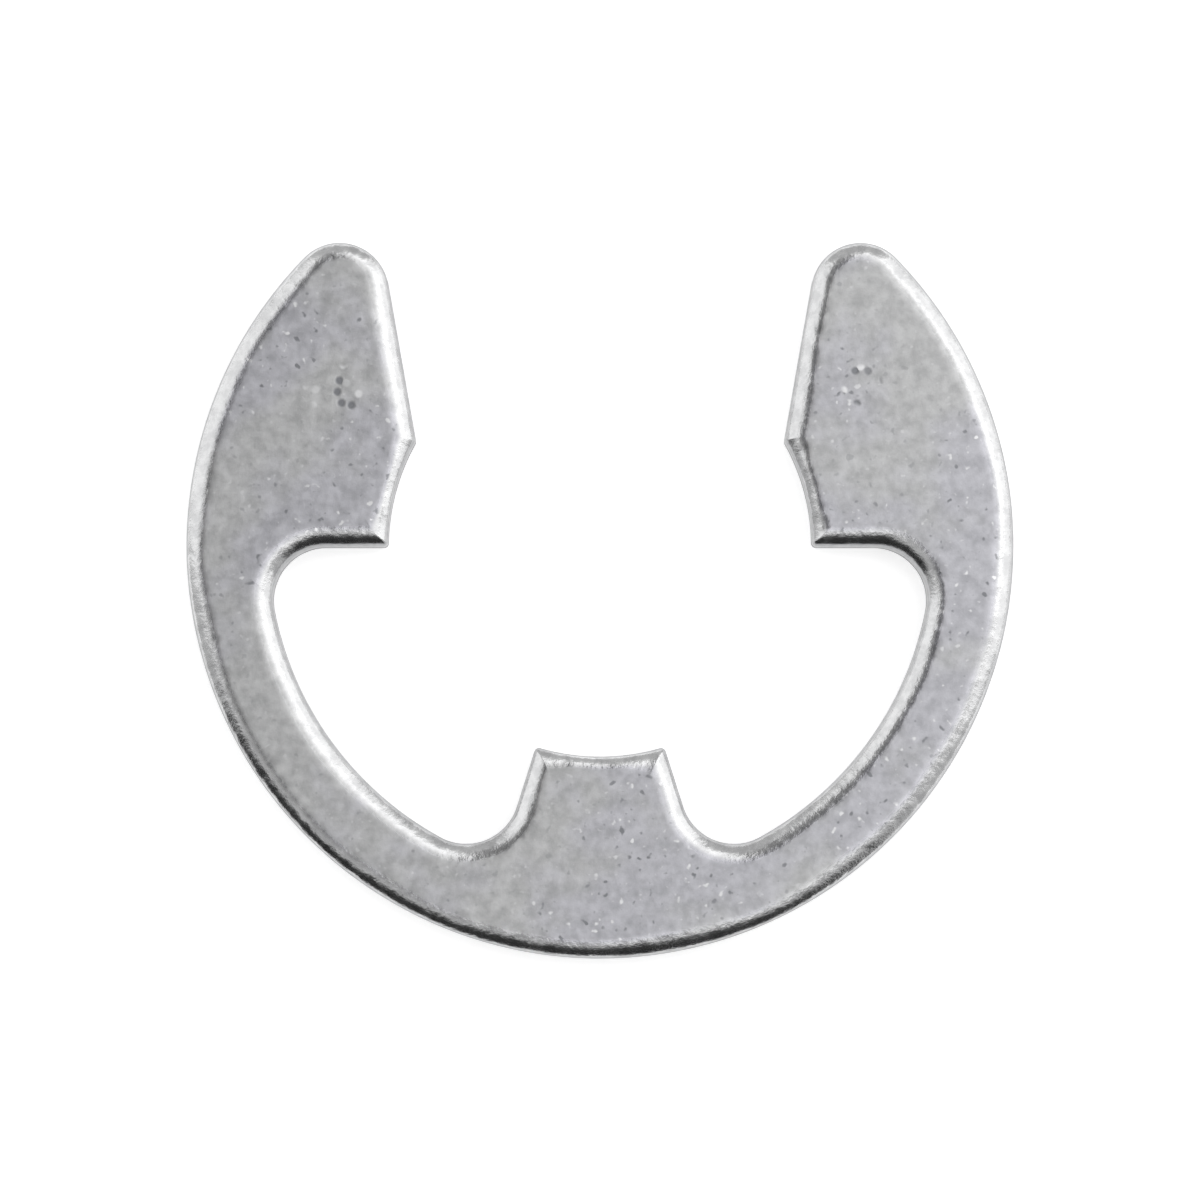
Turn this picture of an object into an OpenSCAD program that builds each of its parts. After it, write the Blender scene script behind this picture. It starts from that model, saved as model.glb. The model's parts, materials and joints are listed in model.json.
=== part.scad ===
// Brake hose clip: an E-shaped spring clip, punched in one blow from spring steel strip.
// Three lugs grip a groove in a shaft or hose end, and the bow between them is the spring.
// Millimetres. The origin is the centre of the gripped shaft, on the underside of the clip.
// +Y points out of the mouth and +Z out of the face that the punch struck.

/* [Clip] */
// Outside diameter of the bow
outside_d = 23.4; // [22:0.1:26]
// Thickness of the steel strip
thickness = 1.3; // [0.8:0.05:1.5]
// Diameter of the groove floor that the three lugs grip
seat_d = 12; // [11:0.1:13.5]
// Narrowest width between the two prongs, which snaps over the groove
throat_w = 10.45; // [8:0.05:11.5]

/* [Bow] */
// Width of the springing bow
bow_w = 2.28; // [2:0.02:2.4]
// Radius of the four pocket corners
pocket_r = 1.5; // [0.8:0.05:1.7]

/* [Lugs and prongs] */
// Width of the middle lug where it meets the groove
lug_w = 3.63; // [2.4:0.01:5]
// How far the lower edge of each prong lies below the shaft centre
heel_drop = 0.05; // [0.01:0.01:0.5]
// Lean of each prong's inner edge away from the mouth's middle line, in degrees
entry_lean = 10; // [2:0.1:14]
// Radius of the prong tips
tip_r = 1.4; // [1:0.05:1.7]

/* [Edges] */
// Width of the rolled edge on the struck face
roll_w = 0.5; // [0.4:0.01:0.6]
// Depth of the rolled edge down the wall
roll_h = 0.36; // [0.2:0.01:0.4]
// Width of the finer rolled edge on the three seats
seat_roll_w = 0.34; // [0.3:0.01:0.39]
// Depth of the finer rolled edge on the three seats
seat_roll_h = 0.28; // [0.16:0.01:0.33]
// Slope of a roll where it leaves the struck face, in degrees
roll_slope = 8; // [6:1:14]
// Break on the sheared edges of the underside
burr_break = 0.06; // [0.02:0.01:0.12]

/* [Hidden] */
$fn = 96;

// How far the punch reaches past the strip on both sides
over = 1;
// How far a punched edge runs past the edge that ends it
past = 1.5;
// How far an edge's roll and burr break start inside the punched space
side = 0.2;
// How far the first and last facet of a roll run on past the wall and the face
run_on = 0.1;
// How far a corner round runs past the two edges it joins, so that they cross cleanly
run_past = 0.01;
// Straight facets that make up a roll
roll_steps = 4;

outer_r = outside_d / 2;
seat_r = seat_d / 2;
inner_r = outer_r - bow_w;

// The middle lug's flanks are radial, this many degrees either side of straight down
lug_half = asin(lug_w / 2 / seat_r);
flank_at = lug_half - 90;

// Pocket corners touch the inside of the bow, and a lug flank or a prong's lower edge
corner_at = inner_r - pocket_r;
lug_corner_at = flank_at + asin(pocket_r / corner_at);
heel_corner_at = -asin((pocket_r + heel_drop) / corner_at);
lug_corner = polar(corner_at, lug_corner_at);
heel_corner = polar(corner_at, heel_corner_at);
flank_end = sqrt(corner_at * corner_at - pocket_r * pocket_r);

// A prong's inner edge starts at the throat, on the seat circle
throat = [throat_w / 2, sqrt(seat_r * seat_r - throat_w * throat_w / 4)];
entry_way = [sin(entry_lean), cos(entry_lean)];

// The tip touches that edge and the outside of the bow
tip_start = throat + tip_r * [cos(entry_lean), -sin(entry_lean)];
tip_lift = tip_start * entry_way;
tip_room = (outer_r - tip_r) * (outer_r - tip_r) - tip_start * tip_start;
tip_centre = tip_start + (sqrt(tip_lift * tip_lift + tip_room) - tip_lift) * entry_way;
tip_at = atan2(tip_centre.y, tip_centre.x);

function polar(r, a) = r * [cos(a), sin(a)];
function unit(v) = v / norm(v);

// Points of a roll, along an arc from the wall, h down, to the struck face, w in
function roll_points(w, h) =
    let (
        r = norm([w, h]) / 2 / sin(atan2(h, w) - roll_slope),
        c = [w + r * sin(roll_slope), thickness - r * cos(roll_slope)],
        start = atan2(thickness - h - c.y, c.x),
        step = (90 - roll_slope - start) / roll_steps
    )
    [for (k = [0:roll_steps]) c + r * [-cos(start + k * step), sin(start + k * step)]];

// The same points, with the first and last facet running on past the wall and the face
function roll_cut(p) =
    let (n = len(p) - 1)
    concat(
        [p[0] + run_on * unit(p[0] - p[1])],
        [for (k = [1:n - 1]) p[k]],
        [p[n] + run_on * unit(p[n] - p[n - 1])]
    );

// Section of what the punch takes out along an edge: the metal lies at x > 0
module punch(depth, w = roll_w, h = roll_h) {
    translate([-depth, -over])
        square([depth, thickness + 2 * over]);
    polygon([[-side, -side], [burr_break + side, -side], [-side, burr_break + side]]);
    polygon(concat(roll_cut(roll_points(w, h)), [[w, thickness + over], [-side, thickness + over]]));
}

// Straight edge through p towards angle a, with the metal on its left
module straight(p, a, from, to, depth) {
    translate([p.x, p.y, 0])
        rotate([90, 0, a + 90])
            translate([0, 0, from])
                linear_extrude(to - from)
                    punch(depth);
}

// Full round hole
module hole(c, r, w = roll_w, h = roll_h) {
    translate([c.x, c.y, 0])
        rotate_extrude()
            intersection() {
                translate([r, 0])
                    punch(r + over, w, h);
                translate([0, -2 * over])
                    square([r + 2 * over, thickness + 4 * over]);
            }
}

// Hollow arc about the shaft centre, between two angles
module hollow(r, from, to, depth) {
    rotate([0, 0, from])
        rotate_extrude(angle = to - from)
            translate([r, 0])
                punch(depth);
}

// Everything outside a round nose, between two angles
module nose(c, r, from, to, depth) {
    translate([c.x, c.y, 0])
        rotate([0, 0, from])
            rotate_extrude(angle = to - from)
                translate([r, 0])
                    mirror([1, 0])
                        punch(depth);
}

// Pocket between the middle lug and the right prong
module pocket() {
    hole(lug_corner, pocket_r + run_past);
    hole(heel_corner, pocket_r + run_past);
    hollow(inner_r, lug_corner_at, heel_corner_at, inner_r - seat_r + past);
    straight(polar(flank_end, flank_at), flank_at + 180, 0, flank_end - seat_r + past, pocket_r);
    straight([seat_r - past, -heel_drop], 0, 0, heel_corner.x - seat_r + past, pocket_r);
}

// Right half of the mouth, with the tip of the right prong
module mouth() {
    straight(throat, -90 - entry_lean, -outer_r - past, seat_r / 2, seat_r + past);
    nose(tip_centre, tip_r + run_past, tip_at, 180 - entry_lean, 2 * tip_r);
}

// Disc of strip with its rim rolled over by the die
module blank() {
    rotate_extrude()
        difference() {
            square([outer_r, thickness]);
            translate([outer_r, 0])
                mirror([1, 0])
                    punch(over);
        }
}

module both_sides() {
    children();
    mirror([1, 0, 0])
        children();
}

module clip() {
    color([0.7, 0.71, 0.72])
        difference() {
            blank();
            hole([0, 0], seat_r, seat_roll_w, seat_roll_h);
            both_sides()
                pocket();
            both_sides()
                mouth();
        }
}

clip();
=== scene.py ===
"""Brake hose clip: an E-shaped spring clip of zinc-plated steel, lying on a pale floor.

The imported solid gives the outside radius, the strip's thickness and the gripped radius. The clip's skin
is one section carried along the band, from the tip of the left prong to the tip of the right one, with
the smooth roll that the die leaves round the upper edge. Its sizes are millimetres until the mesh is made.
"""
import json

import bpy
import numpy as np
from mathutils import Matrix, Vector


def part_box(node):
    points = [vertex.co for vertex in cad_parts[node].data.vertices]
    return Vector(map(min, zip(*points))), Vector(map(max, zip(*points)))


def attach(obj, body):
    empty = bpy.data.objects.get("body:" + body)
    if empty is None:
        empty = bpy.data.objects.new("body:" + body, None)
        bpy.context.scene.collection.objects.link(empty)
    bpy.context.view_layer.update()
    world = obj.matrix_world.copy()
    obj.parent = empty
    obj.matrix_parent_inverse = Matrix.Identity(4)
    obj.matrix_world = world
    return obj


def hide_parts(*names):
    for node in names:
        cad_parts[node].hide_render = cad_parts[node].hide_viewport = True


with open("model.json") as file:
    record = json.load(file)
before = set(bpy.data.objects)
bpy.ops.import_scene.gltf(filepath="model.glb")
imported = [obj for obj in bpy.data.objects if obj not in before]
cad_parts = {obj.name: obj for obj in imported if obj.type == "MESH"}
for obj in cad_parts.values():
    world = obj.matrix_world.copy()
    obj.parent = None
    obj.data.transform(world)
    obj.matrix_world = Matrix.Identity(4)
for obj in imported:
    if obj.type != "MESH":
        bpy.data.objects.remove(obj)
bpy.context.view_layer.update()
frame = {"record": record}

MM = 0.001

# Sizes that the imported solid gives
clip_low, clip_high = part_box("clip")
OUTER_R = round(clip_high.x / MM, 1)
THICKNESS = round(clip_high.z / MM, 2)
SEAT_R = next(m["dims"]["r_mm"] for m in frame["record"]["mounts"] if m["name"] == "groove_seat")

# Sizes of the outline
THROAT_W = 10.45
BOW_W = 2.28
POCKET_R = 1.5
LUG_W = 3.63
HEEL_DROP = 0.05
ENTRY_LEAN = np.radians(10)
TIP_R = 1.4
CORNER_R = 0.14

# Sizes of the edge: the die roll above, the sheared wall and the break of its burr below
ROLL_W = 0.66
ROLL_H = 0.36
SEAT_ROLL_W = 0.45
SEAT_ROLL_H = 0.28
BURR_R = 0.06

# How far in the section's columns lie: the last of the roll, past its widest place, and those underneath
ROLL_REACH = 0.78
UNDER_IN = 0.3

# Waver of the roll along the outline: its share, and its plane waves as rate in x, rate in y and start
ROLL_WAVER = 0.035
WAVES = ((0.7, 1.1, 0.4), (1.4, -0.8, 2.1), (0.4, 1.9, 4.0))

# Where the seats' finer roll fades, as shares of their arcs: on the lug, and at both ends on a prong
LUG_FADE = 0.4
PRONG_FADE = 0.35

# Shares of the roll's width over which the wall's finish gives way to the roll's; the wall's duller grey
# carried up this outer rim of the roll is painted shade, a dark line along the edges
WALL_SHADE_FADE = (0.02, 0.16)

# Points that round to the same place at this fineness are one point
WELD = 1e-4

# Steps of the mesh: along each stretch of the band, of which two are seats, and round the section
STRETCH_STEPS = (24, 10, 16, 40, 70, 40, 16, 10, 28, 8, 30, 30)
LUG_SEAT = 0
PRONG_SEAT = 8
BURR_STEPS = 4
WALL_STEPS = 5
ROLL_STEPS = 18
FACE_STEPS = 7

# Greys of the finish, each from its darker to its paler end
FACE_GREYS = ((0.395, 0.397, 0.402, 1), (0.62, 0.622, 0.627, 1))
# The roll's greys are paler than the face's as a painted highlight: the same zinc, lightened so that its
# reflections come out as white bands
ROLL_HIGHLIGHT_GREYS = ((0.66, 0.662, 0.668, 1), (0.8, 0.802, 0.806, 1))
# The wall's own duller grey of sheared steel; carried up the roll's outer rim it is painted shade, a dark
# line along the edges
WALL_AND_RIM_SHADE_GREYS = ((0.36, 0.362, 0.368, 1), (0.45, 0.452, 0.458, 1))
TORN_GREYS = ((0.27, 0.272, 0.278, 1), (0.4, 0.402, 0.408, 1))
PATCH_TINTS = ((1.0, 1.0, 0.995, 1), (0.975, 0.97, 1.02, 1))
PALE_SPECK = (0.8, 0.8, 0.81, 1)
DARK_SPECK = (0.25, 0.255, 0.27, 1)

# Roughness: of face and roll by the grain, of the wall from sheared to torn
FACE_ROUGH = (0.34, 0.5)
ROLL_ROUGH = (0.16, 0.28)
WALL_ROUGH = (0.38, 0.56)

# Scales of the finish, per millimetre
PATCH_SCALE = 0.3
GRAIN_SCALE = 2.4
SPECK_SCALE = 3.9
PIT_SCALE = 2.3
DRAG_SCALE = 4.5
TEAR_SCALE = 1.1

# Bounds of the smooth steps over the grain, and the share of specks between the patches
FACE_RAMP = (0.2, 0.8)
# ROLL_HIGHLIGHT_RAMP mottles the roll's painted-highlight grey by the grain
ROLL_HIGHLIGHT_RAMP = (0.35, 0.65)
WALL_RAMP = (0.3, 0.7)
PATCH_RAMP = (0.42, 0.62)
PALE_RAMP = (0.65, 0.76)
DARK_RAMP = (0.36, 0.25)
SPECKS_BETWEEN = 0.3

# Bounds of the smooth steps over the roll, which is 1 at the wall and 0 on the face
# ROLL_RAMP sets where the roll's painted-highlight grey takes over from the face's grey
ROLL_RAMP = (0.25, 0.5)
POLISH_RAMP = (0.05, 0.3)

# Pits: bounds of their cluster's edge, of each dot, and of the cells that are pits or pale grains
NEAR_RAMP = (1.0, 0.75)
DOT_RAMP = (0.36, 0.14)
PIT_PICK = (0.54, 0.62)
GRAIN_PICK = (0.36, 0.28)
LEFT_PITS = {"Centre": (-7.43, 4.3, THICKNESS), "Reach": 0.85, "Shift": (14.7, 0.2, 0)}
RIGHT_PITS = {"Centre": (7.4, 4.5, THICKNESS), "Reach": 0.65, "Shift": (-14.7, -0.2, 0)}

# Wall: how far its drag lines are drawn out, and the line below which the steel tore
DRAG_SQUEEZE = 0.06
TEAR_LINE = 0.62
TEAR_WAVER = 0.5
TORN_RAMP = (0.14, -0.1)

# Bump: its strength and depth in millimetres, the grain's middle, and its share on the roll and drag lines
BUMP_STRENGTH = 0.5
BUMP_DEPTH = 0.02
GRAIN_MIDDLE = 0.5
ROLL_BUMP = 2.5
DRAG_BUMP = 0.6

# Set, with its places in metres: the floor just under the clip, the greys, and the cards in front
FLOOR_Z = -0.02 * MM
FLOOR_W = 4.0
FLOOR_GREY = 0.9
FLOOR_LIFT = 0.52
WORLD_GREY = 0.5
CARD_ROUGH = 0.9
CARD_CORNER = (-0.3, -0.3, 0)
CARD_UP = (0, 0, 0.4)

# Camera: lens and sensor in millimetres, the picture's width at the clip and the nearest seen in metres
VIEW_ELEVATION = np.radians(87)
LENS = 180.0
SENSOR = 36.0
FRAME_W = 34 * MM
NEAREST = 0.01

# The outline's driving points, about the centre of the gripped shaft
INNER_R = OUTER_R - BOW_W
CORNER_AT = INNER_R - POCKET_R
FLANK_AT = np.arcsin(LUG_W / 2 / SEAT_R) - np.pi / 2
LUG_POCKET_AT = FLANK_AT + np.arcsin(POCKET_R / CORNER_AT)
HEEL_POCKET_AT = -np.arcsin((POCKET_R + HEEL_DROP) / CORNER_AT)
ENTRY_WAY = np.array([np.sin(ENTRY_LEAN), np.cos(ENTRY_LEAN)])
ENTRY_IN = np.array([np.cos(ENTRY_LEAN), -np.sin(ENTRY_LEAN)])
THROAT = np.array([THROAT_W / 2, np.sqrt(SEAT_R**2 - THROAT_W**2 / 4)])


def polar(radius, angle):
    """Point at a radius and an angle about the origin."""
    return np.stack([radius * np.cos(angle), radius * np.sin(angle)], axis=-1)


def angle_of(points):
    """Angle of each point about the origin."""
    return np.arctan2(points[..., 1], points[..., 0])


def tip_middle():
    """Centre of a prong's round tip: it lies one tip radius inside the leaning entry edge, and one tip
    radius inside the outer circle, so its way along the entry edge solves a quadratic."""
    start = THROAT + TIP_R * ENTRY_IN
    lift = start @ ENTRY_WAY
    room = (OUTER_R - TIP_R) ** 2 - start @ start
    return start + (np.sqrt(lift**2 + room) - lift) * ENTRY_WAY


TIP = tip_middle()
TIP_AT = angle_of(TIP)
TIP_TOP = (np.pi - ENTRY_LEAN + TIP_AT) / 2


def arc(centre, radius, start, end, steps):
    """Arc about a centre: the angle runs evenly from start to end, with one row per step and one column
    per inset of the edge."""
    share = np.linspace(0, 1, steps, endpoint=False)[:, None]
    return centre + polar(radius, start + share * (end - start))


def line(start, end, steps):
    """Straight stretch: points spaced evenly from start to end, with one column per inset of the edge."""
    share = np.linspace(0, 1, steps, endpoint=False)[:, None, None]
    return start + share * (end - start)


def inner_edge(inset):
    """Inside of the band from the middle of the lug to the top of the right tip, set back into the metal
    by each inset. Arcs keep their centres and change radius, straight stretches shift, and the three small
    corners are arcs between them whose radius dies away as the inset grows, so that no ring crosses
    itself."""
    corner = CORNER_R * np.exp(-inset / CORNER_R)
    deep = inset + corner
    seat = SEAT_R + inset
    flank_in = polar(1, FLANK_AT - np.pi / 2)
    flank_way = polar(1, FLANK_AT)
    lug_corner = np.outer(deep, flank_in) + np.outer(np.sqrt((SEAT_R + deep) ** 2 - deep**2), flank_way)
    heel_y = deep - HEEL_DROP
    heel_corner = np.stack([np.sqrt((SEAT_R + deep) ** 2 - heel_y**2), heel_y], axis=-1)
    entry_off = THROAT @ ENTRY_IN + deep
    entry_on = np.sqrt((SEAT_R + deep) ** 2 - entry_off**2)
    throat_corner = np.outer(entry_off, ENTRY_IN) + np.outer(entry_on, ENTRY_WAY)
    lug_pocket = polar(CORNER_AT, LUG_POCKET_AT)
    heel_pocket = polar(CORNER_AT, HEEL_POCKET_AT)
    pocket = POCKET_R + inset
    flank_top = lug_corner - corner[:, None] * flank_in
    flank_foot = lug_pocket + np.outer(pocket, flank_in)
    heel_start = heel_pocket + np.outer(pocket, (0, 1))
    heel_end = heel_corner - np.outer(corner, (0, 1))
    entry_start = throat_corner - corner[:, None] * ENTRY_IN
    entry_end = TIP - np.outer(TIP_R - inset, ENTRY_IN)
    to_entry = np.pi - ENTRY_LEAN
    n = STRETCH_STEPS
    return np.concatenate([
        arc(0, seat, -np.pi / 2, angle_of(lug_corner), n[0]),
        arc(lug_corner, corner, angle_of(lug_corner) + np.pi, FLANK_AT + np.pi / 2, n[1]),
        line(flank_top, flank_foot, n[2]),
        arc(lug_pocket, pocket, FLANK_AT - np.pi / 2, LUG_POCKET_AT, n[3]),
        arc(0, INNER_R + inset, LUG_POCKET_AT, HEEL_POCKET_AT, n[4]),
        arc(heel_pocket, pocket, HEEL_POCKET_AT, np.pi / 2, n[5]),
        line(heel_start, heel_end, n[6]),
        arc(heel_corner, corner, -np.pi / 2, angle_of(heel_corner) - np.pi, n[7]),
        arc(0, seat, angle_of(heel_corner), angle_of(throat_corner), n[8]),
        arc(throat_corner, corner, angle_of(throat_corner) + np.pi, to_entry, n[9]),
        line(entry_start, entry_end, n[10]),
        arc(TIP, TIP_R - inset, to_entry, TIP_TOP, n[11]),
        (TIP + polar(TIP_R - inset, TIP_TOP))[None],
    ])


# Where on the outer circle each stretch of the inside ends, so that the band's cross lines never meet
OUTER_STOPS = np.array([
    *np.radians([-90, -82.5, -82, -78]),
    LUG_POCKET_AT,
    HEEL_POCKET_AT,
    *np.radians([8, 15, 15.5, 26, 26.5]),
    TIP_AT,
])


def outer_edge(inset):
    """Outside of the band from its bottom to the top of the right tip, set back by each inset: the outer
    circle in as many stretches as the inside has, then the outer half of the tip's arc."""
    rim = [
        arc(0, OUTER_R - inset, start, end, steps)
        for start, end, steps in zip(OUTER_STOPS[:-1], OUTER_STOPS[1:], STRETCH_STEPS)
    ]
    tip = arc(TIP, TIP_R - inset, TIP_AT, TIP_TOP, STRETCH_STEPS[-1])
    top = (TIP + polar(TIP_R - inset, TIP_TOP))[None]
    return np.concatenate([*rim, tip, top])


def smooth(x, low, high):
    """Smooth step: 0 below low, 1 above high, three squares less two cubes between."""
    t = np.clip((x - low) / (high - low), 0, 1)
    return t * t * (3 - 2 * t)


def edge_columns():
    """One edge's section from the underside to the face: each column's inset, its foot height, its share of
    the wall's height, and whether it lies on the roll. The break is a quarter circle and the roll's columns
    lie closer together towards the wall."""
    turn = np.linspace(0, np.pi / 2, BURR_STEPS)
    climb = np.linspace(0, 1, WALL_STEPS)[1:-1]
    over = np.linspace(0, np.pi / 2, ROLL_STEPS)
    burr = BURR_R * (1 - np.sin(turn))
    roll = ROLL_REACH * (1 - np.cos(over))
    inset = np.concatenate([[UNDER_IN], burr, 0 * climb, roll])
    foot = np.concatenate([[0], BURR_R * (1 - np.cos(turn)), BURR_R + 0 * climb, BURR_R + 0 * roll])
    share = np.concatenate([[0], 0 * burr, climb, 1 + 0 * roll])
    on_roll = np.concatenate([[0], 0 * burr, 0 * climb, 1 + 0 * roll])
    return inset, foot, share, on_roll


def roll_sizes(edge, is_seat):
    """Width and depth of the roll at each station of an edge: finer on the seats, and wavering a little
    along the outline as a sum of three plane waves over the plane of the strip."""
    x, y = edge[:, 0], edge[:, 1]
    waver = 1 + ROLL_WAVER * sum(np.sin(in_x * x + in_y * y + start) for in_x, in_y, start in WAVES)
    width = (ROLL_W + (SEAT_ROLL_W - ROLL_W) * is_seat) * waver
    depth = (ROLL_H + (SEAT_ROLL_H - ROLL_H) * is_seat) * waver
    return width[:, None], depth[:, None]


def seat_share():
    """How much each station of the inside belongs to a seat: 1 along the seat arcs, falling smoothly to 0
    towards their corners, and 0 elsewhere."""
    runs = [np.zeros(steps) for steps in STRETCH_STEPS]
    lug_run = np.linspace(0, 1, STRETCH_STEPS[LUG_SEAT], endpoint=False)
    prong_run = np.linspace(0, 1, STRETCH_STEPS[PRONG_SEAT], endpoint=False)
    runs[LUG_SEAT] = 1 - smooth(lug_run, LUG_FADE, 1)
    runs[PRONG_SEAT] = smooth(prong_run, 0, PRONG_FADE) * (1 - smooth(prong_run, 1 - PRONG_FADE, 1))
    return np.concatenate([*runs, [0]])


def half_band(side):
    """Right half of the band (side 1) or left half (side -1) as a grid: stations from the middle to the tip
    by columns round the section. The columns climb the outer edge, cross the face, go down the inner edge
    and come back under the clip. Each place blends the inner and the outer edge at the column's inset. The
    roll rises as a quarter of an ellipse: its depth times the root of one less the squared share of its
    width that is left. The grid comes with each point's share of roll and of wall; the wall's share reaches
    a little way up the roll's outer rim, where it lays painted shade."""
    inset, foot, share, on_roll = edge_columns()
    fill = np.linspace(0, 1, FACE_STEPS + 2)[1:-1]
    columns = np.concatenate([inset, ROLL_REACH + 0 * fill, inset[::-1], UNDER_IN + 0 * fill])
    across = np.concatenate([1 + 0 * inset, 1 - fill, 0 * inset, fill])[:, None]
    flat = across * outer_edge(columns) + (1 - across) * inner_edge(columns)
    flat = flat * (side, 1)
    seats = seat_share()
    rim = flat[:, len(inset) - ROLL_STEPS]
    inside = flat[:, len(inset) + FACE_STEPS + ROLL_STEPS - 1]
    heights, rolls, walls_and_rim_shade = [], [], []
    for edge, is_seat in ((rim, 0 * seats), (inside, seats)):
        width, depth = roll_sizes(edge, is_seat)
        bow = np.clip(inset / width, 0, 1)
        rise = np.sqrt(1 - (1 - bow) ** 2)
        heights.append(foot + share * (THICKNESS - depth - BURR_R) + on_roll * depth * rise)
        rolls.append(on_roll * (1 - bow))
        # The wall share runs a little way up the roll's steep outer rim, where the wall's darker grey is
        # painted shade
        walls_and_rim_shade.append(foot / BURR_R * (1 - smooth(bow * on_roll, *WALL_SHADE_FADE)))
    face = np.ones((len(flat), FACE_STEPS))

    def round_section(parts, top, under):
        """Columns in their order round the section: outer edge, face, inner edge and underside."""
        return np.concatenate([parts[0], top * face, parts[1][:, ::-1], under * face], axis=1)

    z = round_section(heights, THICKNESS, 0)
    points = np.concatenate([flat, z[..., None]], axis=-1)
    return points, round_section(rolls, 0, 0), round_section(walls_and_rim_shade, 0, 0)


def both_halves(right, left):
    """The whole band from the left tip to the right one: the left half backwards, then the right half
    without the middle station that they share."""
    return np.concatenate([left[::-1], right[1:]])


def welded(points):
    """Joins points that coincide, to a tenth of a micrometre: the numbers of the points that stay, and each
    old point's new number."""
    cells = np.round(points / WELD).astype(int)
    _, keep, new = np.unique(cells, axis=0, return_index=True, return_inverse=True)
    return keep, new.ravel()


def make_clip():
    """The clip's skin: the grid of the whole band, closed round the section, with both tips welded shut."""
    right, left = half_band(1), half_band(-1)
    grid, rolls, walls_and_rim_shade = (both_halves(*pair) for pair in zip(right, left))
    stations, columns = grid.shape[:2]
    keep, new = welded(grid.reshape(-1, 3))
    number = new.reshape(stations, columns)
    around = np.roll(number, -1, axis=1)
    a, b, c, d = number[:-1].ravel(), number[1:].ravel(), around[1:].ravel(), around[:-1].ravel()
    triangles = np.concatenate([np.stack([a, b, c], axis=1), np.stack([a, c, d], axis=1)])
    first, second, third = triangles.T
    triangles = triangles[(first != second) & (second != third) & (third != first)]
    mesh = bpy.data.meshes.new("clip_skin")
    mesh.from_pydata(grid.reshape(-1, 3)[keep] * MM, [], triangles)
    mesh.shade_smooth()
    for name, values in (("roll", rolls), ("wall", walls_and_rim_shade)):
        layer = mesh.attributes.new(name, "FLOAT", "POINT")
        layer.data.foreach_set("value", values.reshape(-1)[keep].astype(np.float32))
    piece = bpy.data.objects.new("clip_skin", mesh)
    bpy.context.scene.collection.objects.link(piece)
    return piece


# Shader helpers


def add(tree, kind, settings=None, **inputs):
    """Adds one node: settings are its properties, and inputs its sockets by name. A value that is a socket
    is linked, any other is set."""
    made = tree.nodes.new("ShaderNode" + kind)
    for name, value in (settings or {}).items():
        setattr(made, name, value)
    for name, value in inputs.items():
        plug(tree, made.inputs[name], value)
    return made


def plug(tree, socket, value):
    """Links a socket to another one, or sets it to a value."""
    if isinstance(value, bpy.types.NodeSocket):
        tree.links.new(value, socket)
    else:
        socket.default_value = value


def math_node(tree, operation, *values):
    """Result of one Math node over one or two values or sockets."""
    made = tree.nodes.new("ShaderNodeMath")
    made.operation = operation
    for socket, value in zip(made.inputs, values):
        plug(tree, socket, value)
    return made.outputs["Value"]


def mix_colour(tree, factor, first, second, blend="MIX"):
    """Result of one colour Mix node."""
    made = tree.nodes.new("ShaderNodeMix")
    made.data_type = "RGBA"
    made.blend_type = blend
    plug(tree, made.inputs["Factor"], factor)
    plug(tree, made.inputs["A"], first)
    plug(tree, made.inputs["B"], second)
    return next(o for o in made.outputs if o.type == "RGBA")


def mix_value(tree, factor, first, second):
    """Result of one value Mix node."""
    made = tree.nodes.new("ShaderNodeMix")
    plug(tree, made.inputs["Factor"], factor)
    plug(tree, made.inputs["A"], first)
    plug(tree, made.inputs["B"], second)
    return made.outputs["Result"]


def ramp(tree, value, low, high):
    """Smooth step of a value from 0 at low to 1 at high."""
    made = add(tree, "MapRange", {"interpolation_type": "SMOOTHSTEP"}, Value=value)
    made.inputs["From Min"].default_value = low
    made.inputs["From Max"].default_value = high
    return made.outputs["Result"]


def new_group(name, inputs, outputs):
    """Empty shader group with named sockets, given as name: type. Returns the group, its inner input
    sockets and its output node."""
    group = bpy.data.node_groups.new(name, "ShaderNodeTree")
    for side, sockets in (("INPUT", inputs), ("OUTPUT", outputs)):
        for label, kind in sockets.items():
            group.interface.new_socket(label, in_out=side, socket_type="NodeSocket" + kind)
    return group, group.nodes.new("NodeGroupInput").outputs, group.nodes.new("NodeGroupOutput")


def place_group(tree, group, **inputs):
    """Places a group in a material, with its inputs linked or set."""
    made = tree.nodes.new("ShaderNodeGroup")
    made.node_tree = group
    for name, value in inputs.items():
        plug(tree, made.inputs[name], value)
    return made.outputs


def plating_grain():
    """Barrel zinc: broad patches, an uneven grain, and small pale and dark specks where a fine noise runs
    high or low. There are more specks inside the patches."""
    group, given, out = new_group(
        "plating_grain",
        {"Place": "Vector", "Grain": "Float", "Specks": "Float"},
        {"Patch": "Float", "Grain": "Float", "Pale": "Float", "Dark": "Float"},
    )
    broad = add(group, "TexNoise", Vector=given["Place"], Scale=PATCH_SCALE, Detail=3.0, Roughness=0.55)
    grain = add(group, "TexNoise", Vector=given["Place"], Scale=given["Grain"], Detail=4.0, Roughness=0.62)
    fine = add(group, "TexNoise", Vector=given["Place"], Scale=given["Specks"], Detail=1.5, Roughness=0.5)
    patch = ramp(group, broad.outputs["Fac"], *PATCH_RAMP)
    often = mix_value(group, patch, SPECKS_BETWEEN, 1.0)
    pale = math_node(group, "MULTIPLY", ramp(group, fine.outputs["Fac"], *PALE_RAMP), often)
    dark = math_node(group, "MULTIPLY", ramp(group, fine.outputs["Fac"], *DARK_RAMP), often)
    plug(group, out.inputs["Patch"], patch)
    plug(group, out.inputs["Grain"], grain.outputs["Fac"])
    plug(group, out.inputs["Pale"], pale)
    plug(group, out.inputs["Dark"], dark)
    return group


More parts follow.
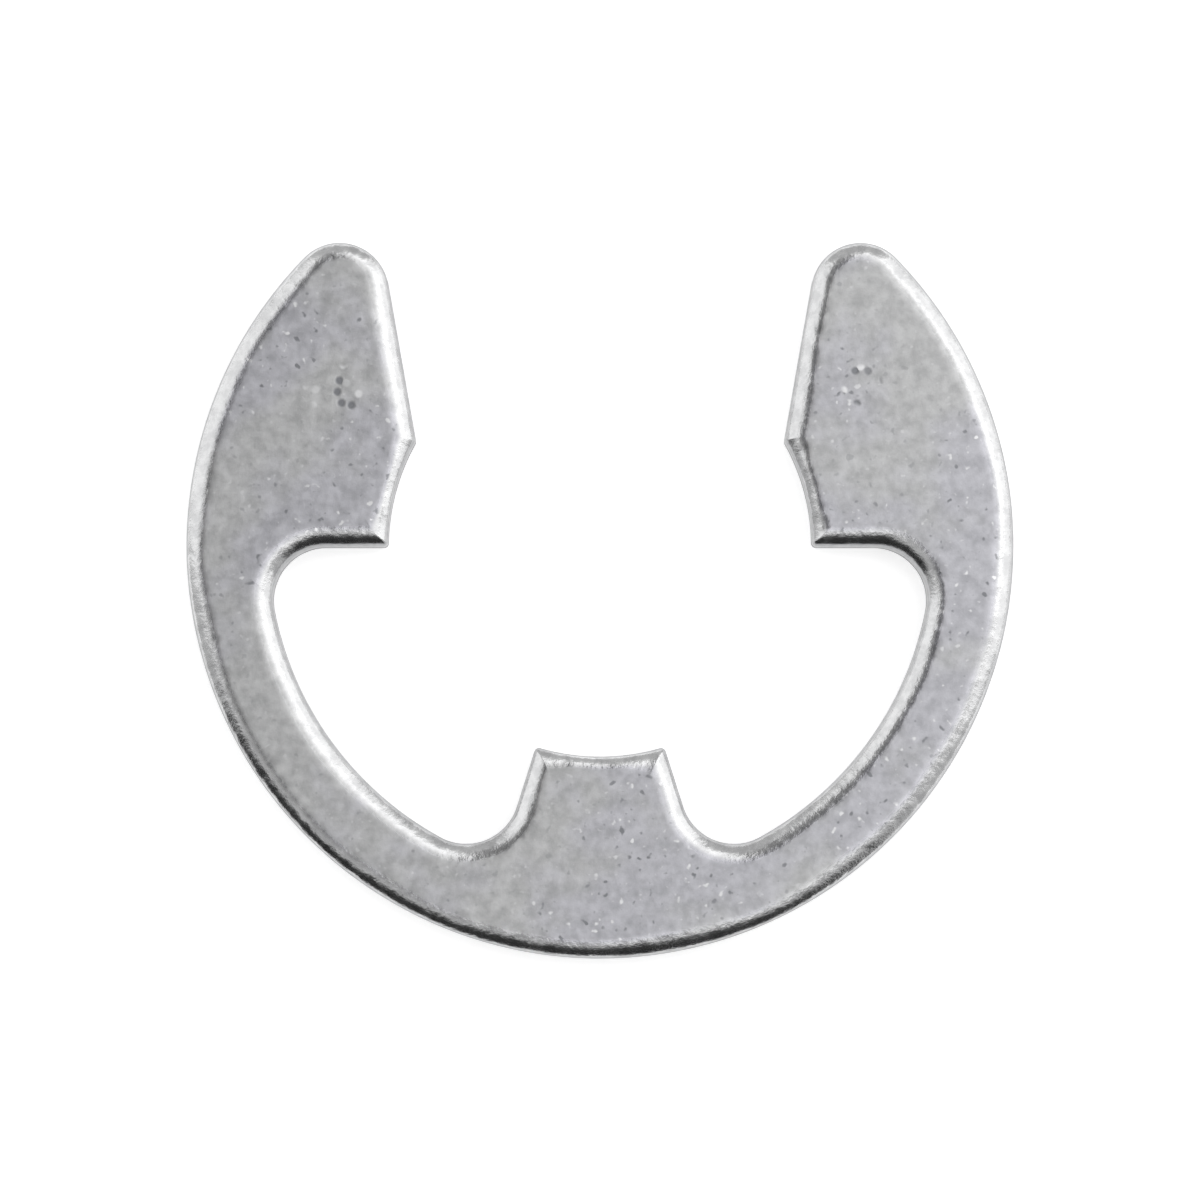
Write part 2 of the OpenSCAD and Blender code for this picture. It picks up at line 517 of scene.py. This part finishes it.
def pit_cluster():
    """A few small pits in the plate near a centre, with pale grains between them: dots in a flat cell
    pattern that are dark or pale by the cell's random colour, and fade out with the distance from the
    centre."""
    group, given, out = new_group(
        "pit_cluster",
        {"Place": "Vector", "Centre": "Vector", "Reach": "Float", "Shift": "Vector"},
        {"Pit": "Float", "Pale": "Float"},
    )
    away = add(group, "VectorMath", {"operation": "DISTANCE"})
    plug(group, away.inputs[0], given["Place"])
    plug(group, away.inputs[1], given["Centre"])
    near = ramp(group, math_node(group, "DIVIDE", away.outputs["Value"], given["Reach"]), *NEAR_RAMP)
    moved = add(group, "VectorMath")
    plug(group, moved.inputs[0], given["Place"])
    plug(group, moved.inputs[1], given["Shift"])
    flat = {"voronoi_dimensions": "2D"}
    cells = add(group, "TexVoronoi", flat, Vector=moved.outputs["Vector"], Scale=PIT_SCALE)
    pick = add(group, "SeparateColor", Color=cells.outputs["Color"]).outputs["Red"]
    dot = math_node(group, "MULTIPLY", near, ramp(group, cells.outputs["Distance"], *DOT_RAMP))
    plug(group, out.inputs["Pit"], math_node(group, "MULTIPLY", dot, ramp(group, pick, *PIT_PICK)))
    plug(group, out.inputs["Pale"], math_node(group, "MULTIPLY", dot, ramp(group, pick, *GRAIN_PICK)))
    return group


def shear_marks():
    """Sheared wall: drag lines up and down it, from a noise drawn out along the strip's thickness, and
    below a wavering line the duller band where the steel tore."""
    group, given, out = new_group(
        "shear_marks",
        {"Place": "Vector", "Tear": "Float"},
        {"Drag": "Float", "Torn": "Float"},
    )
    drawn = add(group, "VectorMath", {"operation": "MULTIPLY"})
    plug(group, drawn.inputs[0], given["Place"])
    plug(group, drawn.inputs[1], (1, 1, DRAG_SQUEEZE))
    place = drawn.outputs["Vector"]
    drag = add(group, "TexNoise", Vector=place, Scale=DRAG_SCALE, Detail=3.0, Roughness=0.6)
    waver = add(group, "TexNoise", Vector=place, Scale=TEAR_SCALE, Detail=3.0, Roughness=0.6)
    height = add(group, "SeparateXYZ", Vector=given["Place"]).outputs["Z"]
    lifted = math_node(group, "ADD", height, math_node(group, "MULTIPLY", waver.outputs["Fac"], TEAR_WAVER))
    above = math_node(group, "SUBTRACT", lifted, given["Tear"])
    plug(group, out.inputs["Drag"], drag.outputs["Fac"])
    plug(group, out.inputs["Torn"], ramp(group, above, *TORN_RAMP))
    return group


def zinc_marks(tree):
    """Everything that the finish depends on, as sockets by name: where the roll and the wall are, with the
    wall's share reaching up the roll's outer rim as painted shade, the zinc's grain, patches, specks and
    pits, and the wall's drag lines and torn band."""
    place = add(tree, "TexCoord").outputs["Object"]
    in_mm = add(tree, "VectorMath", {"operation": "SCALE"}, Vector=place, Scale=1 / MM).outputs["Vector"]
    zinc = place_group(tree, plating_grain(), Place=in_mm, Grain=GRAIN_SCALE, Specks=SPECK_SCALE)
    pits = pit_cluster()
    left = place_group(tree, pits, Place=in_mm, **LEFT_PITS)
    right = place_group(tree, pits, Place=in_mm, **RIGHT_PITS)
    shear = place_group(tree, shear_marks(), Place=in_mm, Tear=TEAR_LINE)
    pit = math_node(tree, "MAXIMUM", left["Pit"], right["Pit"])
    pale = math_node(tree, "MAXIMUM", left["Pale"], right["Pale"])
    return {
        "roll": add(tree, "Attribute", {"attribute_name": "roll"}).outputs["Fac"],
        "wall": add(tree, "Attribute", {"attribute_name": "wall"}).outputs["Fac"],
        "grain": zinc["Grain"],
        "patch": zinc["Patch"],
        "pale": math_node(tree, "MAXIMUM", zinc["Pale"], pale),
        "dark": math_node(tree, "MAXIMUM", zinc["Dark"], pit),
        "pit": pit,
        "drag": shear["Drag"],
        "torn": shear["Torn"],
    }


def zinc_colour(tree, marks):
    """Colour of the finish: the mottled face with its specks, then the roll, whose paler grey is a painted
    highlight, then the wall, whose duller grey also lays painted shade along the roll's outer rim.
    """
    face = mix_colour(tree, ramp(tree, marks["grain"], *FACE_RAMP), *FACE_GREYS)
    tint = mix_colour(tree, marks["patch"], *PATCH_TINTS)
    face = mix_colour(tree, 1.0, face, tint, "MULTIPLY")
    face = mix_colour(tree, marks["pale"], face, PALE_SPECK)
    face = mix_colour(tree, marks["dark"], face, DARK_SPECK)
    # Painted highlight: the roll takes a paler grey than the face, standing in for the white bands of its
    # reflections
    roll_highlight = mix_colour(tree, ramp(tree, marks["grain"], *ROLL_HIGHLIGHT_RAMP), *ROLL_HIGHLIGHT_GREYS)
    edge = mix_colour(tree, ramp(tree, marks["roll"], *ROLL_RAMP), face, roll_highlight)
    sheared = mix_colour(tree, ramp(tree, marks["drag"], *WALL_RAMP), *WALL_AND_RIM_SHADE_GREYS)
    torn = mix_colour(tree, ramp(tree, marks["grain"], *WALL_RAMP), *TORN_GREYS)
    sheared = mix_colour(tree, marks["torn"], sheared, torn)
    # The wall's grey: its own sheared and torn steel on the wall, and painted shade where the mask reaches
    # up the roll's rim
    return mix_colour(tree, marks["wall"], edge, sheared)


def zinc_roughness(tree, marks):
    """Roughness of the finish: face and roll vary with the grain, and the wall with where it tore."""
    face = mix_value(tree, marks["grain"], *FACE_ROUGH)
    polish = mix_value(tree, marks["grain"], *ROLL_ROUGH)
    edge = mix_value(tree, ramp(tree, marks["roll"], *POLISH_RAMP), face, polish)
    return mix_value(tree, marks["wall"], edge, mix_value(tree, marks["torn"], *WALL_ROUGH))


def zinc_height(tree, marks):
    """Height of the finish: the grain, stronger on the roll, less the pits. The wall has its drag lines,
    and the grain again where it tore."""
    uneven = math_node(tree, "SUBTRACT", marks["grain"], GRAIN_MIDDLE)
    lively = mix_value(tree, ramp(tree, marks["roll"], *POLISH_RAMP), 1.0, ROLL_BUMP)
    height = math_node(tree, "SUBTRACT", math_node(tree, "MULTIPLY", uneven, lively), marks["pit"])
    drag = math_node(tree, "MULTIPLY", marks["drag"], DRAG_BUMP)
    wall_height = mix_value(tree, marks["torn"], drag, height)
    return mix_value(tree, marks["wall"], height, wall_height)


def zinc_plate():
    """Satin zinc over spring steel: mottled grey faces, a smoother roll whose paler grey is a painted
    highlight, a dull sheared wall whose grey, carried up the roll's outer rim, is painted shade there, and
    a few pits on both prongs."""
    material = bpy.data.materials.new("zinc_plate")
    material.use_nodes = True
    tree = material.node_tree
    shader = tree.nodes["Principled BSDF"]
    marks = zinc_marks(tree)
    height = zinc_height(tree, marks)
    bump = add(tree, "Bump", Height=height, Strength=BUMP_STRENGTH, Distance=BUMP_DEPTH * MM)
    plug(tree, shader.inputs["Base Color"], zinc_colour(tree, marks))
    plug(tree, shader.inputs["Roughness"], zinc_roughness(tree, marks))
    plug(tree, shader.inputs["Normal"], bump.outputs["Normal"])
    shader.inputs["Metallic"].default_value = 1.0
    return material


def seen_floor():
    """White floor: a pale matt surface that takes the clip's shadow, lifted to white where the camera or a
    reflection sees it."""
    material = bpy.data.materials.new("floor_white")
    material.use_nodes = True
    tree = material.node_tree
    tree.nodes.remove(tree.nodes["Principled BSDF"])
    path = add(tree, "LightPath").outputs
    seen = math_node(tree, "MAXIMUM", path["Is Camera Ray"], path["Is Glossy Ray"])
    seen = math_node(tree, "MAXIMUM", seen, path["Is Transmission Ray"])
    lift = add(tree, "Emission", Color=(1, 1, 1, 1), Strength=math_node(tree, "MULTIPLY", seen, FLOOR_LIFT))
    matt = add(tree, "BsdfDiffuse", Color=(FLOOR_GREY, FLOOR_GREY, FLOOR_GREY, 1))
    both = tree.nodes.new("ShaderNodeAddShader")
    tree.links.new(lift.outputs[0], both.inputs[0])
    tree.links.new(matt.outputs[0], both.inputs[1])
    tree.links.new(both.outputs[0], tree.nodes["Material Output"].inputs["Surface"])
    return material


def matt_card(name, grey):
    """Matt grey or black card."""
    material = bpy.data.materials.new(name)
    material.use_nodes = True
    shader = material.node_tree.nodes["Principled BSDF"]
    shader.inputs["Base Color"].default_value = (grey, grey, grey, 1)
    shader.inputs["Roughness"].default_value = CARD_ROUGH
    return material


def flat_sheet(name, corner, along, up, material):
    """Flat sheet of the set, which isn't part of the clip: one corner, and the two sides that start
    there."""
    corner, along, up = Vector(corner), Vector(along), Vector(up)
    corners = [corner, corner + along, corner + along + up, corner + up]
    mesh = bpy.data.meshes.new(name)
    mesh.from_pydata(corners, [], [(0, 1, 2, 3)])
    mesh.materials.append(material)
    sheet = bpy.data.objects.new(name, mesh)
    bpy.context.scene.collection.objects.link(sheet)
    return sheet


def dark_card(name, corner, along, up, material):
    """Dark card that only the clip's reflections see, so that it takes no light off the floor."""
    card = flat_sheet(name, corner, along, up, material)
    card.visible_camera = False
    card.visible_diffuse = False
    card.visible_shadow = False


def softbox(name, place, size, level):
    """Flat lamp aimed at the clip, which adds the given level to the brightness of what lies behind it: its
    power is pi times its area times that level."""
    lamp = bpy.data.lights.new(name, "AREA")
    lamp.shape = "RECTANGLE"
    lamp.size, lamp.size_y = size
    lamp.energy = level * np.pi * size[0] * size[1]
    made = bpy.data.objects.new(name, lamp)
    made.location = place
    made.rotation_mode = "QUATERNION"
    made.rotation_quaternion = (-Vector(place)).to_track_quat("-Z", "Y")
    made.visible_camera = False
    bpy.context.scene.collection.objects.link(made)


clip = make_clip()
clip.data.materials.append(zinc_plate())
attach(clip, "root")
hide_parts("clip")

# Floor, lamps overhead and at both sides, black cards in front and a dark grey one beside the overhead lamp
floor_corner = (-FLOOR_W / 2, -FLOOR_W / 2, FLOOR_Z)
flat_sheet("floor", floor_corner, along=(FLOOR_W, 0, 0), up=(0, FLOOR_W, 0), material=seen_floor())
softbox("overhead_softbox", place=(0.08, 0.08, 0.5), size=(0.56, 0.56), level=0.8)
softbox("right_softbox", place=(0.39, 0.12, 0.235), size=(0.58, 0.44), level=0.72)
softbox("left_softbox", place=(-0.36, 0.16, 0.24), size=(0.36, 0.5), level=0.55)
black = matt_card("card_black", grey=0.01)
grey = matt_card("card_grey", grey=0.18)
dark_card("front_card", CARD_CORNER, along=(0.58, 0, 0), up=CARD_UP, material=black)
dark_card("left_front_card", CARD_CORNER, along=(-0.04, 0.17, 0), up=CARD_UP, material=black)
dark_card("left_card", (-0.13, -0.05, 0.3), along=(0.11, 0, 0), up=(0, 0.3, 0), material=grey)

world = bpy.data.worlds.new("studio")
world.use_nodes = True
world.node_tree.nodes["Background"].inputs["Color"].default_value = (WORLD_GREY, WORLD_GREY, WORLD_GREY, 1)
bpy.context.scene.world = world
bpy.context.scene.view_settings.view_transform = "Standard"

# Camera: nearly straight above, with the mouth up in the picture
middle = (clip_low + clip_high) / 2
back = Vector((0, -np.cos(VIEW_ELEVATION), np.sin(VIEW_ELEVATION)))
eye = bpy.data.cameras.new("camera")
eye.lens = LENS
eye.sensor_width = SENSOR
camera = bpy.data.objects.new("camera", eye)
camera.location = middle + back * (FRAME_W * LENS / SENSOR)
camera.rotation_mode = "QUATERNION"
camera.rotation_quaternion = (-back).to_track_quat("-Z", "Y")
eye.clip_start = NEAREST
bpy.context.scene.collection.objects.link(camera)
bpy.context.scene.camera = camera
